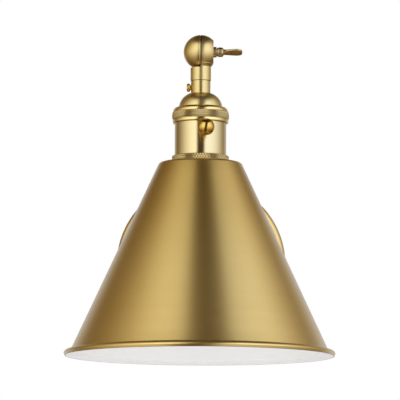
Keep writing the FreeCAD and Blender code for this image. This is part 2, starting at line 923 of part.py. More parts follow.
def make_centre_contact():
    body = key_body("centre_contact")
    foot = housing_end - at.contact_foot
    tip = housing_end - at.contact_height
    revolve(body, [
        corner(ZERO, housing_end),
        corner(ZERO, tip),
        corner(at.contact_tip_radius, tip, round_by=at.contact_foot),
        corner(at.contact_tip_radius, foot),
        corner(at.contact_radius, foot),
        corner(at.contact_radius, housing_end),
    ])


def make_mouth_ring():
    """The insulating ring at the socket's mouth: it holds the lamp's cup in the shell and opens downward."""
    body = key_body("mouth_ring")
    cup_seat = at.lamp_bore + at.lamp_sheet + at.fit_gap
    opening = at.lamp_bore + at.fit_gap
    grip_top = lamp_end + at.mouth_grip
    inner_top = sleeve_inside - at.fit_gap
    revolve(body, [
        corner(cup_seat, grip_top),
        corner(cup_seat, lamp_end),
        corner(opening, lamp_end),
        corner(opening + at.mouth_lead, mouth_end),
        corner(sleeve_outside, mouth_end),
        corner(sleeve_outside, sleeve_end),
        corner(inner_top, sleeve_end),
        corner(inner_top, grip_top),
    ])


# Switch key: its parts turn about the line x = 0, z = key_height of the key's frame


def stem_body(label):
    return new_body(label, (ZERO, -at.ball_reach, at.ball_height + key_height), Vector(0, 0, 1), at.key_turn)


bushing_end = at.shell_radius + at.bushing_stand


def make_key_bushing():
    body = stem_body("key_bushing")
    bore = at.stem_radius + at.fit_gap
    revolve(body, [
        corner(bore, -at.housing_radius),
        corner(bore, -bushing_end),
        corner(at.bushing_radius, -bushing_end),
        corner(at.bushing_radius, -at.shell_radius - at.bushing_flange),
        corner(at.bushing_flange_radius, -at.shell_radius - at.bushing_flange),
        corner(at.bushing_flange_radius, -at.shell_radius),
        corner(at.bushing_radius, -at.shell_radius),
        corner(at.bushing_radius, -at.housing_radius),
    ], "XY_Plane")


knob_back = at.knob_reach - at.knob_flat


def make_key_stem():
    body = stem_body("key_stem")
    start = -at.stem_inside + at.stem_radius
    revolve(body, box_outline(ZERO, at.stem_radius, -knob_back - at.stem_grip, start), "XY_Plane")


def make_key_knob():
    """A ball with a small flat at the back, bored for the stem."""
    body = stem_body("key_knob")
    bore = at.stem_radius + at.fit_gap
    flat_radius = root(at.knob_radius * at.knob_radius - at.knob_flat * at.knob_flat)
    front = -at.knob_reach - at.knob_radius
    bottom = -knob_back - at.stem_grip
    revolve(body, [
        corner(bore, -knob_back),
        corner(bore, bottom),
        corner(ZERO, bottom),
        corner(ZERO, front, arc=at.knob_radius),
        corner(at.knob_radius, -at.knob_reach, arc=at.knob_radius),
        corner(flat_radius, -knob_back),
    ], "XY_Plane")


# Shade and its rings


def make_clamp_ring():
    body = ball_body("clamp_ring")
    bore = at.shell_radius + at.fit_gap
    revolve(body, [
        corner(bore, shade_top),
        corner(at.clamp_radius, shade_top),
        corner(at.clamp_radius, clamp_top - at.clamp_bevel),
        corner(at.clamp_top_radius, clamp_top),
        corner(bore, clamp_top),
    ])


def make_lock_ring():
    body = ball_body("lock_ring")
    bore = at.shell_radius + at.fit_gap
    top = shade_top - at.shade_sheet
    end = top - at.lock_ring_height
    revolve(body, [
        corner(bore, top),
        corner(bore, end),
        corner(at.clamp_radius, end, round_by=at.lock_ring_round),
        corner(at.clamp_radius, top),
    ])


def make_shade():
    """A spun cone: a flat seat for the rings, a sloping top, a shoulder and a lip turned out and down."""
    body = ball_body("shade")
    hole = at.shell_radius + at.shade_hole_gap
    seat = at.clamp_radius + at.seat_margin
    shoulder = shade_top - at.shoulder_drop
    cone_end = shade_top - at.cone_height
    rim = cone_end - at.lip_drop
    rim_radius = at.cone_radius + at.lip_reach
    inner_top = shade_top - at.shade_sheet
    inner_end = cone_end - at.shade_sheet
    # the inside follows the outside one sheet away: across is the cone's sheet measured level,
    # inset is how far in the inner shoulder's corner lies
    fall = at.shoulder_drop / (at.shoulder_radius - seat)
    slope = (at.cone_radius - at.shoulder_radius) / (shoulder - cone_end)
    across = at.shade_sheet * root(slope * slope + 1)
    drop_out = at.shade_sheet * slope
    inset = (across - drop_out) / (as_size(1) - slope * fall)
    revolve(body, [
        corner(hole, shade_top),
        corner(hole, inner_top),
        corner(seat, inner_top),
        corner(at.shoulder_radius - inset, shoulder - at.shade_sheet + fall * inset,
               round_by=at.shoulder_round - at.shade_sheet),
        corner(at.cone_radius + drop_out - across, inner_end),
        corner(rim_radius - at.shade_sheet, inner_end, round_by=at.lip_round - at.shade_sheet),
        corner(rim_radius - at.shade_sheet, rim),
        corner(rim_radius, rim),
        corner(rim_radius, cone_end, round_by=at.lip_round),
        corner(at.cone_radius, cone_end),
        corner(at.shoulder_radius, shoulder, round_by=at.shoulder_round),
        corner(seat, shade_top),
    ])


def write_pieces():
    """Checks every object and every piece's solid, then writes one file for each piece."""
    failed = [item.Label for item in doc.Objects if "Invalid" in item.State or "Error" in item.State]
    failed += [body.Label for body in pieces if body.Shape.isNull() or not body.Shape.isValid()]
    if failed:
        raise RuntimeError("these failed: " + ", ".join(failed))
    os.makedirs("parts", exist_ok=True)
    for body in pieces:
        body.Shape.exportStep(f"parts/{body.Label}.step")
        print(f"{body.Label}: {len(body.Shape.Solids)} solid, {body.Shape.Volume:.0f} mm3")


make_wall_plate()
make_mounting_strap()
make_nipple(wall_body("arm_nipple"), at.plate_depth + at.plate_nipple_grip, at.nipple_recess)
make_nut(wall_body("strap_nut"), at.strap_sheet)
make_nut(wall_body("plate_nut"), at.plate_depth - at.plate_sheet - at.nut_height)
make_plate_studs()
make_plate_cap_nuts()
make_earth_screw()
make_arm_collar()
make_arm_tube()
make_swivel_arm_half()
make_swivel_head_half()
make_thumb_washer()
make_thumb_screw()
nipple_end = cap_neck_end - at.cap_sheet - at.neck_nipple_tail
make_nipple(ball_body("neck_nipple"), neck_end + at.neck_thread, nipple_end)
make_nut(ball_body("neck_nut"), cap_neck_end - at.cap_sheet - at.nut_height)
make_socket_cap()
make_set_screw()
make_cap_ring()
make_socket_shell()
make_insulating_sleeve()
make_switch_housing()
make_terminal_screws()
make_screw_shell()
make_centre_contact()
make_mouth_ring()
make_key_bushing()
make_key_stem()
make_key_knob()
make_clamp_ring()
make_lock_ring()
make_shade()
write_pieces()
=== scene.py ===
import json
import math

import bmesh
import bpy
import numpy as np
from mathutils import Euler, Matrix, Vector

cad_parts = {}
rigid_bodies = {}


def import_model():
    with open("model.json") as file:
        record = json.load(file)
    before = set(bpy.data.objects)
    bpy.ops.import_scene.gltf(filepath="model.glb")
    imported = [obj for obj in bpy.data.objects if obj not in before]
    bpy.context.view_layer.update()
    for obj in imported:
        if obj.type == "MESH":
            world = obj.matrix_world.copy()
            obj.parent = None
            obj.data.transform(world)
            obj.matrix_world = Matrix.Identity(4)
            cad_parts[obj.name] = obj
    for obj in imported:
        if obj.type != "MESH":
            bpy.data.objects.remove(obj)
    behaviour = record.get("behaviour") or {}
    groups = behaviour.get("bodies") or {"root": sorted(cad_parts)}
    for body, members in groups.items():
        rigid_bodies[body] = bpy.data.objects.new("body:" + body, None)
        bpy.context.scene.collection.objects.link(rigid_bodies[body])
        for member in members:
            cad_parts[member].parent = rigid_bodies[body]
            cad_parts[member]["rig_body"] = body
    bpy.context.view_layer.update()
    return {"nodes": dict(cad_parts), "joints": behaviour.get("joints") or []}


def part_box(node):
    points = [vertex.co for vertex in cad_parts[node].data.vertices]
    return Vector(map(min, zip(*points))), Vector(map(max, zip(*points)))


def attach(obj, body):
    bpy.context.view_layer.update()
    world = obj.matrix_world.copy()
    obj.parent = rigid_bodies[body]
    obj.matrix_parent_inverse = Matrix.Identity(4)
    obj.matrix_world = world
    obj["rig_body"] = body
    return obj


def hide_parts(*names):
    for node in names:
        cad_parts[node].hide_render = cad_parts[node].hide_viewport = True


# Cone-shade wall light: metres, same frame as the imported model, +Z up, the room is on the -Y side.
# Sizes and threads of the pieces are in millimetres and degrees, those of looks, studio and camera in metres
# and degrees, but for the camera's lens and sensor in millimetres.

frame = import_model()
nodes = frame["nodes"]
joints = {joint["name"]: joint for joint in frame["joints"]}
mm = 0.001
print("frame loaded:", len(nodes), "nodes")

ballCentre = np.array(joints["head_tilt"]["pos_m"])
keyCentre = np.array(joints["key_turn"]["pos_m"])
wallCentre = np.zeros(3)


# Shader sums


class Wire:
    # a socket that can be added, multiplied and so on; every step adds one Math node
    def __init__(self, graph, socket):
        self.graph = graph
        self.socket = socket

    def calc(self, operation, first, second=0.0):
        made = self.graph.add("ShaderNodeMath", {"operation": operation}, {0: first, 1: second})
        return Wire(self.graph, made.outputs[0])

    def __add__(self, other):
        return self.calc("ADD", self, other)

    def __sub__(self, other):
        return self.calc("SUBTRACT", self, other)

    def __rsub__(self, other):
        return self.calc("SUBTRACT", other, self)

    def __mul__(self, other):
        return self.calc("MULTIPLY", self, other)

    def __truediv__(self, other):
        return self.calc("DIVIDE", self, other)

    def __pow__(self, other):
        return self.calc("POWER", self, other)

    __radd__ = __add__
    __rmul__ = __mul__

    def atLeast(self, other):
        return self.calc("MAXIMUM", self, other)

    def unsigned(self):
        return self.calc("ABSOLUTE", self)

    def around(self, swing):
        # a noise of 0 to 1 turned into one that swings by this much in all, half of it on each side of 0
        return (self - 0.5) * swing

    def step(self, low, high):
        # 0 below low, 1 above high, smooth between
        made = self.graph.add("ShaderNodeMapRange", {"interpolation_type": "SMOOTHSTEP"},
                              {"Value": self, "From Min": low, "From Max": high})
        return Wire(self.graph, made.outputs["Result"])


class Graph:
    # a node tree; add() makes any node from its type, its settings and its inputs
    def __init__(self, tree):
        self.tree = tree
        tree.nodes.clear()

    def add(self, kind, settings=None, inputs=None):
        made = self.tree.nodes.new(kind)
        for name, value in (settings or {}).items():
            setattr(made, name, value)
        for name, value in (inputs or {}).items():
            if isinstance(value, Wire):
                self.tree.links.new(value.socket, made.inputs[name])
            else:
                made.inputs[name].default_value = value
        return made

    def wire(self, node, output=0):
        return Wire(self, node.outputs[output])

    def number(self, kind, settings=None, inputs=None, output=0):
        return self.wire(self.add(kind, settings, inputs), output)

    def axes(self, vector):
        parts = self.add("ShaderNodeSeparateXYZ", None, {0: vector})
        return [self.wire(parts, letter) for letter in "XYZ"]

    def noise(self, vector, scale, detail=2.0, roughness=0.5):
        made = self.add("ShaderNodeTexNoise", {"noise_dimensions": "3D"},
                        {"Vector": vector, "Scale": scale, "Detail": detail, "Roughness": roughness})
        return self.wire(made, "Fac")

    def blend(self, share, first, second):
        made = self.add("ShaderNodeMix", {"data_type": "RGBA"}, {"Factor": share, "A": first, "B": second})
        return self.wire(made, "Result")


def newMaterial(name):
    material = bpy.data.materials.new(name)
    material.use_nodes = True
    return material, Graph(material.node_tree)


def finishMaterial(graph, settings, bump=None, distance=0.0):
    # a Principled surface; settings holds its sockets, bump a height wire and distance its depth in metres
    if bump is not None:
        heights = {"Height": bump, "Distance": distance}
        settings["Normal"] = graph.number("ShaderNodeBump", None, heights, "Normal")
    surface = graph.add("ShaderNodeBsdfPrincipled", None, settings)
    graph.add("ShaderNodeOutputMaterial", None, {"Surface": graph.wire(surface, "BSDF")})


# Turned brass

satinLook = {"light": (0.85, 0.66, 0.255, 1), "dark": (0.74, 0.54, 0.185, 1), "roughness": 0.34, "coat": 1.0,
             "lacquer": 0.24, "index": 1.5, "lines": 1500.0, "lineDepth": 0.0000020, "stretch": 0.45,
             "tarnish": 0.35, "edge": (0.75, 0.68, 0.58, 1)}
brassLooks = {
    # tones, roughness of the metal, weight, roughness and index of the lacquer, turned lines per metre and
    # their depth, how far the highlight is drawn out across the lines, tarnish, and the metal's tint where it
    # is seen almost edge on. The rest is on one look only: a browner tone, painted shade that darkens the
    # shade's upper part, none of it at the first height from the ball's centre and all of it at the second;
    # painted shade in the knurl's grooves, from one depth of the groove to the next, and how much duller it is;
    # and the split between the ball's halves: how dark the painted shadow line along it is, where that line and
    # the rounding beside it begin and end along the ball's axis, how deep that rounding goes, and where the
    # ball ends.
    "satin": satinLook,
    # painted shade: the shade's tones are darkened toward its top by the tone given below
    "shade": {**satinLook, "light": (0.945, 0.73, 0.285, 1), "dark": (0.84, 0.61, 0.21, 1), "roughness": 0.33,
              "paintedTopShadeTone": (0.77, 0.55, 0.165, 1), "paintedTopShadeHeights": (-0.180, -0.090)},
    "cap": {"light": (0.82, 0.67, 0.31, 1), "dark": (0.72, 0.54, 0.21, 1), "roughness": 0.31, "coat": 0.7,
            "lacquer": 0.30, "index": 1.5, "lines": 2400.0, "lineDepth": 0.0000005, "stretch": 0.3,
            "tarnish": 0.3, "edge": (0.75, 0.68, 0.58, 1)},
    "knurl": {"light": (0.98, 0.80, 0.37, 1), "dark": (0.86, 0.63, 0.24, 1), "roughness": 0.22, "coat": 1.0,
              "lacquer": 0.2, "index": 1.5, "lines": 2400.0, "lineDepth": 0.0000004, "stretch": 0.0,
              # the knurl's grooves get painted shade, near-black toward their bottom
              "tarnish": 0.3, "edge": (0.75, 0.68, 0.58, 1), "grooveShadeShare": 0.95,
              "grooveShadeTone": (0.08, 0.05, 0.022, 1), "grooveShadeLimits": (0.60, 0.80), "grooveShadeDulls": 0.25},
    "ball": {"light": (0.85, 0.69, 0.33, 1), "dark": (0.76, 0.58, 0.24, 1), "roughness": 0.32, "coat": 0.3,
             "lacquer": 0.36, "index": 1.5, "lines": 3200.0, "lineDepth": 0.0000003, "stretch": 0.0,
             # painted shadow: a dark line along the split between the ball's halves
             "tarnish": 0.3, "edge": (0.7, 0.6, 0.45, 1), "split": 0.75,
             "splitShadowTone": (0.07, 0.045, 0.02, 1), "splitShadowBegins": (-0.0002, 0.0002),
             "splitShadowEnds": (0.0004, 0.0011), "roundBegins": (-0.0011, -0.0002), "roundEnds": (0.0, 0.0006),
             "splitDepth": 0.00032, "ballEnds": (0.0132, 0.0134)},
    "drawn": {"light": (0.84, 0.72, 0.43, 1), "dark": (0.79, 0.66, 0.36, 1), "roughness": 0.23, "coat": 0.5,
              "lacquer": 0.22, "index": 1.5, "lines": 2600.0, "lineDepth": 0.0000006, "stretch": 0.85,
              "tarnish": 0.25, "edge": (0.75, 0.68, 0.58, 1)},
    "lathe": {"light": (0.70, 0.57, 0.34, 1), "dark": (0.58, 0.44, 0.23, 1), "roughness": 0.38, "coat": 0.6,
              "lacquer": 0.30, "index": 1.5, "lines": 3000.0, "lineDepth": 0.0000006, "stretch": 0.0,
              "tarnish": 0.4, "edge": (0.7, 0.6, 0.45, 1)},
    "polished": {"light": (0.80, 0.57, 0.16, 1), "dark": (0.70, 0.43, 0.09, 1), "roughness": 0.14,
                 "coat": 0.1, "lacquer": 0.05, "index": 1.4, "lines": 3000.0, "lineDepth": 0.0000003,
                 "stretch": 0.0, "tarnish": 0.3, "edge": (0.55, 0.32, 0.14, 1)},
}
turnedGrain = {
    # every turned brass: scale, detail and roughness of the noises for fine lines, coarse lines and clouds,
    # how far each swings the roughness, the limits and shares with which clouds and coarse lines tarnish the
    # brass, how much the radius counts beside the height, and the least radius that is divided by
    "fine": (1.0, 3.0, 0.6), "coarse": (0.13, 5.0, 0.72), "cloud": (26.0, 4.0, 0.55),
    "fineSwing": 0.05, "coarseSwing": 0.07, "cloudSwing": 0.03,
    "cloudLimits": (0.42, 0.72), "cloudShare": 0.55, "coarseLimits": (0.32, 0.70), "coarseShare": 0.45,
    "radiusShare": 0.7, "leastRadius": 0.0005}


def lacquerSockets(values):
    # the sockets of lacquered brass that are the same all over a piece
    return {"Metallic": 1.0, "Coat Weight": values["coat"], "Coat Roughness": values["lacquer"],
            "Coat IOR": values["index"], "Specular Tint": values["edge"]}


def turnedBrass(name, look, centre, axis):
    # lacquered turned brass: fine lines run round the axis through centre. Their noise reads (cos, sin, height
    # plus a share of the radius), so it hardly changes on the way round and changes fast from line to line.
    values, grain = brassLooks[look], turnedGrain
    material, graph = newMaterial(name)
    position = graph.number("ShaderNodeTexCoord", None, None, "Object")
    offset = graph.number("ShaderNodeVectorMath", {"operation": "SUBTRACT"}, {0: position, 1: tuple(centre)})
    sides = graph.axes(offset)
    along = sides.pop("XYZ".index(axis))
    radius = (sides[0] * sides[0] + sides[1] * sides[1]) ** 0.5
    safeRadius = radius.atLeast(grain["leastRadius"])
    turned = graph.number("ShaderNodeCombineXYZ", None, {
        "X": sides[0] / safeRadius, "Y": sides[1] / safeRadius,
        "Z": (along + radius * grain["radiusShare"]) * values["lines"]})
    fine = graph.noise(turned, *grain["fine"])
    coarse = graph.noise(turned, *grain["coarse"])
    cloud = graph.noise(position, *grain["cloud"])
    tarnish = (cloud.step(*grain["cloudLimits"]) * grain["cloudShare"]
               + coarse.step(*grain["coarseLimits"]) * grain["coarseShare"]) * values["tarnish"]
    colour = graph.blend(tarnish, values["light"], values["dark"])
    roughness = (values["roughness"] + fine.around(grain["fineSwing"])
                 + coarse.around(grain["coarseSwing"]) + cloud.around(grain["cloudSwing"]))
    bump, depth = fine, values["lineDepth"]
    if "paintedTopShadeHeights" in values:
        # painted shade: a browner, darker tone toward the shade's top stands in for the light falling off there
        colour = graph.blend(along.step(*values["paintedTopShadeHeights"]), colour, values["paintedTopShadeTone"])
    if "grooveShadeShare" in values:
        # painted shade: the knurl's grooves are darkened nearly to black, and made duller, by how deep each
        # point lies
        groove = graph.number("ShaderNodeAttribute", {"attribute_name": "groove"}, None, "Fac")
        grooveShadeMask = groove.step(*values["grooveShadeLimits"]) * values["grooveShadeShare"]
        colour = graph.blend(grooveShadeMask, colour, values["grooveShadeTone"])
        roughness = roughness + grooveShadeMask * values["grooveShadeDulls"]
    if "split" in values:
        # the two halves meet at along = 0: the left one's edge is rounded over, and a dark line of painted
        # shadow lies beside it
        reach = (along * along + radius * radius) ** 0.5
        onBall = 1 - reach.step(*values["ballEnds"])
        line = along.step(*values["splitShadowBegins"]) * (1 - along.step(*values["splitShadowEnds"])) * onBall
        colour = graph.blend(line * values["split"], colour, values["splitShadowTone"])
        rounded = along.step(*values["roundBegins"]) * (1 - along.step(*values["roundEnds"])) * onBall
        depth = values["splitDepth"]
        bump = fine * (values["lineDepth"] / depth) - rounded
    finishMaterial(graph, {
        "Base Color": colour, "Roughness": roughness, "Anisotropic": values["stretch"],
        "Anisotropic Rotation": 0.25, **lacquerSockets(values)}, bump, depth)
    return material


# Finishes without turned lines

plainLooks = {
    # grain and cloud are noises: scale, detail and roughness. Between the limits the cloud blends the light
    # tone into the dark one, by the share at most. Swings are how far grain and cloud move the roughness,
    # depth is the grain's, and sockets holds what is the same all over.
    "satin_brass_arm": {  # a tube brushed by hand, so its fine grain has no one way to run
        "light": satinLook["light"], "dark": satinLook["dark"], "share": satinLook["tarnish"],
        "limits": (0.40, 0.72), "grain": (2400.0, 3.0, 0.6), "cloud": (30.0, 4.0, 0.55), "roughness": 0.28,
        "swings": (0.08, 0.05), "depth": 0.0000012, "sockets": lacquerSockets(satinLook)},
    "white_enamel": {  # stove enamel, faintly uneven, glossy on top
        "light": (0.955, 0.945, 0.945, 1), "dark": (0.93, 0.925, 0.92, 1), "share": 1.0,
        "limits": (0.35, 0.7), "grain": (420.0, 2.0, 0.5), "cloud": (18.0, 3.0, 0.5), "roughness": 0.34,
        "swings": (0.08, 0.0), "depth": 0.00002, "sockets": {"Coat Weight": 0.25, "Coat Roughness": 0.2}},
    "zinc_steel": {  # a cool grey with a broken, slightly yellow bloom
        "light": (0.60, 0.61, 0.62, 1), "dark": (0.63, 0.59, 0.47, 1), "share": 1.0,
        "limits": (0.4, 0.65), "grain": (900.0, 3.0, 0.5), "cloud": (120.0, 4.0, 0.65), "roughness": 0.33,
        "swings": (0.0, 0.2), "depth": 0.00001, "sockets": {"Metallic": 1.0}},
    "contact_metal": {  # drawn brass with a thin nickel wash
        "light": (0.80, 0.74, 0.58, 1), "dark": (0.74, 0.66, 0.44, 1), "share": 1.0,
        "limits": (0.4, 0.65), "grain": (150.0, 3.0, 0.5), "cloud": (150.0, 3.0, 0.5), "roughness": 0.24,
        "swings": (0.15, 0.0), "depth": 0.00001, "sockets": {"Metallic": 1.0}},
    "moulded_black": {
        "light": (0.035, 0.033, 0.032, 1), "dark": (0.02, 0.02, 0.021, 1), "share": 1.0,
        "limits": (0.35, 0.65), "grain": (1500.0, 4.0, 0.6), "cloud": (90.0, 3.0, 0.5), "roughness": 0.42,
        "swings": (0.15, 0.0), "depth": 0.00001, "sockets": {}},
    "fibre_paper": {
        "light": (0.56, 0.44, 0.29, 1), "dark": (0.46, 0.34, 0.21, 1), "share": 1.0,
        "limits": (0.35, 0.65), "grain": (2200.0, 4.0, 0.6), "cloud": (90.0, 3.0, 0.5), "roughness": 0.7,
        "swings": (0.15, 0.0), "depth": 0.00003, "sockets": {}},
    "earth_green": {
        "light": (0.04, 0.34, 0.12, 1), "dark": (0.03, 0.26, 0.09, 1), "share": 1.0,
        "limits": (0.35, 0.65), "grain": (1200.0, 4.0, 0.6), "cloud": (90.0, 3.0, 0.5), "roughness": 0.35,
        "swings": (0.15, 0.0), "depth": 0.00001, "sockets": {}},
}


def plainFinish(name):
    # two close tones in soft clouds over a fine grain
    values = plainLooks[name]
    material, graph = newMaterial(name)
    position = graph.number("ShaderNodeTexCoord", None, None, "Object")
    grain = graph.noise(position, *values["grain"])
    cloud = graph.noise(position, *values["cloud"])
    colour = graph.blend(cloud.step(*values["limits"]) * values["share"], values["light"], values["dark"])
    grainSwing, cloudSwing = values["swings"]
    roughness = values["roughness"] + grain.around(grainSwing) + cloud.around(cloudSwing)
    finishMaterial(graph, {"Base Color": colour, "Roughness": roughness, **values["sockets"]},
                   grain, values["depth"])
    return material


shadeBrass = turnedBrass("satin_brass_shade", "shade", ballCentre, "Z")
headBrass = turnedBrass("satin_brass_head", "cap", ballCentre, "Z")
knurlBrass = turnedBrass("satin_brass_knurl", "knurl", ballCentre, "Z")
ballBrass = turnedBrass("satin_brass_ball", "ball", ballCentre, "X")
shellBrass = turnedBrass("satin_brass_shell", "drawn", ballCentre, "Z")
plateBrass = turnedBrass("satin_brass_plate", "satin", wallCentre, "Y")
armBrass = plainFinish("satin_brass_arm")
screwBrass = turnedBrass("polished_brass_screw", "lathe", ballCentre, "X")
headScrewBrass = turnedBrass("polished_brass_set_screw", "polished", ballCentre, "X")
keyBrass = turnedBrass("polished_brass_key", "polished", keyCentre, "Y")
capNutBrass = turnedBrass("polished_brass_nut", "polished", wallCentre, "Y")
enamel = plainFinish("white_enamel")
zincSteel = plainFinish("zinc_steel")
contactMetal = plainFinish("contact_metal")
phenolic = plainFinish("moulded_black")
fibre = plainFinish("fibre_paper")
earthGreen = plainFinish("earth_green")

nodeMaterials = {
    shadeBrass: ["shade"],
    headBrass: ["lock_ring", "socket_cap"],
    knurlBrass: ["clamp_ring", "cap_ring"],
    shellBrass: ["socket_shell"],
    ballBrass: ["swivel_arm_half", "swivel_head_half"],
    plateBrass: ["wall_plate", "arm_collar"],
    armBrass: ["arm_tube"],
    screwBrass: ["thumb_screw", "thumb_washer"],
    headScrewBrass: ["set_screw"],
    keyBrass: ["key_knob", "key_stem", "key_bushing"],
    capNutBrass: ["plate_cap_nuts"],
    zincSteel: ["mounting_strap", "arm_nipple", "strap_nut", "plate_nut", "plate_studs", "neck_nipple",
                "neck_nut", "terminal_screws"],
    contactMetal: ["screw_shell", "centre_contact"],
    phenolic: ["switch_housing", "mouth_ring"],
    fibre: ["insulating_sleeve"],
    earthGreen: ["earth_screw"],
}
for material, names in nodeMaterials.items():
    for name in names:
        mesh = nodes[name].data
        mesh.materials.clear()
        mesh.materials.append(material)
print("materials made:", len(bpy.data.materials))


# Surfaces

sharpAngles = {"plain": 34.0, "toothed": 28.0, "screw": 40.0}  # edges that turn by more stay sharp


def gridObject(name, grid, materials, closeRows=True, rowMaterials=None, sharp="plain", groove=None):
    # grid is rows by columns by xyz. Columns run round and always join up; rows join up if closeRows.
    # groove is rows by columns: how deep in a pattern's grooves each point lies, 0 to 1.
    rows, columns = grid.shape[:2]
    lastRow = rows if closeRows else rows - 1
    row, column = np.meshgrid(np.arange(lastRow), np.arange(columns), indexing="ij")
    nextRow, nextColumn = (row + 1) % rows, (column + 1) % columns
    corners = np.stack([row * columns + column, row * columns + nextColumn,
                        nextRow * columns + nextColumn, nextRow * columns + column], axis=-1).reshape(-1, 4)
    mesh = bpy.data.meshes.new(name)
    mesh.vertices.add(rows * columns)
    mesh.vertices.foreach_set("co", grid.reshape(-1).astype(np.float32))
    mesh.loops.add(corners.size)
    mesh.loops.foreach_set("vertex_index", corners.reshape(-1).astype(np.int32))
    mesh.polygons.add(len(corners))
    mesh.polygons.foreach_set("loop_start", np.arange(0, corners.size, 4, dtype=np.int32))
    for material in materials:
        mesh.materials.append(material)
    if rowMaterials is not None:
        faceMaterials = np.repeat(rowMaterials[:lastRow], columns)
        mesh.polygons.foreach_set("material_index", faceMaterials.astype(np.int32))
    mesh.update(calc_edges=True)
    if groove is not None:
        layer = mesh.attributes.new("groove", "FLOAT", "POINT")
        layer.data.foreach_set("value", groove.reshape(-1).astype(np.float32))
    tool = bmesh.new()
    tool.from_mesh(mesh)
    bmesh.ops.remove_doubles(tool, verts=tool.verts, dist=1e-7)
    bmesh.ops.recalc_face_normals(tool, faces=tool.faces)
    tool.to_mesh(mesh)
    tool.free()
    smooth(mesh, sharp)
    made = bpy.data.objects.new(name, mesh)
    bpy.context.scene.collection.objects.link(made)
    return made


def smooth(mesh, sharp):
    mesh.shade_smooth()
    mesh.set_sharp_from_angle(angle=math.radians(sharpAngles[sharp]))


def joinGrids(name, grids, materials):
    # one object from several like grids: each is made on its own, then their meshes are put together
    parts = [gridObject(name, grid, materials, closeRows=False, sharp="toothed") for grid in grids]
    tool = bmesh.new()
    for part in parts:
        tool.from_mesh(part.data)
    tool.to_mesh(parts[0].data)
    tool.free()
    for part in parts[1:]:
        bpy.data.objects.remove(part)
    smooth(parts[0].data, "toothed")
    return parts[0]


def cutWith(made, cutter):
    # takes the cutter's space out of the mesh for good
    modifier = made.modifiers.new("cut", "BOOLEAN")
    modifier.operation = "DIFFERENCE"
    modifier.solver = "EXACT"
    modifier.object = cutter
    bpy.context.view_layer.update()
    cutMesh = bpy.data.meshes.new_from_object(made.evaluated_get(bpy.context.evaluated_depsgraph_get()))
    made.modifiers.clear()
    made.data = cutMesh
    bpy.data.objects.remove(cutter)
    smooth(cutMesh, "plain")


def softened(corners, steps):
    # corners are (radius, height, rounding). A rounded corner becomes an arc that touches both its sides:
    # the arc's centre stands on the corner's bisector, rounding over the sine of half the angle away.
    spots = np.array([corner[:2] for corner in corners], float)
    points = []
    for index, (here, corner) in enumerate(zip(spots, corners)):
        rounding = corner[2]
        if rounding <= 0:
            points.append(here[None])
            continue
        back = spots[index - 1] - here
        ahead = spots[(index + 1) % len(spots)] - here
        back, ahead = back / np.linalg.norm(back), ahead / np.linalg.norm(ahead)
        half = math.acos(np.clip(back @ ahead, -1, 1)) / 2
        middle = (back + ahead) / np.linalg.norm(back + ahead)
        centre = here + middle * rounding / math.sin(half)
        start = here + back * rounding / math.tan(half) - centre
        end = here + ahead * rounding / math.tan(half) - centre
        sweep = math.acos(np.clip(start @ end / rounding ** 2, -1, 1))
        share = np.linspace(0, 1, steps + 1)[:, None]
        spread = np.sin((1 - share) * sweep) * start + np.sin(share * sweep) * end
        points.append(centre + spread / math.sin(sweep))
    return np.concatenate(points)


def arc(centre, radius, start, end, count):
    # points on a circle from the angle start to the angle end, both in degrees
    angle = np.radians(np.linspace(start, end, count))
    return np.stack([centre[0] + radius * np.cos(angle), centre[1] + radius * np.sin(angle)], axis=1)


def straight(radius, heights):
    # profile points at one radius
    return np.stack([np.full(len(heights), radius), heights], axis=1)


def turnedGrid(profile, columns, centre, axis="Z", relief=None):
    # the profile point (r, h) at the angle a goes to centre + r cos a, r sin a across the axis + h along it.
    # relief(r, h, a) gives back r with a pattern cut into it. Profiles are in millimetres.
    angle = np.linspace(0, 2 * np.pi, columns, endpoint=False)[None]
    radius, height = profile[:, :1], profile[:, 1:]
    if relief is not None:
        radius = relief(radius, height, angle)
    first, second = radius * np.cos(angle), radius * np.sin(angle)
    along = height + 0 * angle
    order = {"Z": (first, second, along), "Y": (second, along, first)}[axis]
    return np.stack(order, axis=-1) * mm + np.asarray(centre)


def stand(made, slotName, *names):
    # made takes the place of the named CAD nodes and rides on their body
    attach(made, nodes[names[0]]["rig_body"])
    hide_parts(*names)


def heightOf(node, top=True):
    # the top or the bottom of a CAD node in millimetres above the ball's centre
    low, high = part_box(node)
    return ((high if top else low).z - ballCentre[2]) / mm


def waves(value):
    # 0 on whole numbers, 1 half way between them, straight flanks
    return 1 - np.abs(2 * (value % 1) - 1)


def rolledWave(pitch, height, angle):
    # a rolled thread's round wave: the squared sine of half a turn times (height over pitch less turns)
    return np.sin(np.pi * (height / pitch - angle / (2 * np.pi))) ** 2


def milled(size, floor):
    # straight grooves on whatever lies outside the radius floor: the radius falls by the tooth depth times
    # (1 - wave of the turns times teeth) squared
    def relief(radius, height, angle):
        groove = (1 - waves(angle * size["teeth"] / (2 * np.pi))) ** 2
        return radius - (radius > floor) * size["toothDepth"] * groove
    return relief


# Shade

shadeSizes = {"hole": 19.7, "seat": 22.0, "seatRound": 0.8, "shoulder": 31.2, "drop": 1.3, "shoulderRound": 3.0,
              "cone": 96.9, "lipReach": 5.1, "lipDrop": 4.2, "lipRound": 2.5, "lipTurn": 1.5, "turnRound": 0.8,
              "innerTurnRound": 0.5, "curl": 0.55, "crease": 1.3, "sheet": 1.0, "edge": 0.35,
              "coneRows": 14, "enamelLap": 3, "columns": 360}


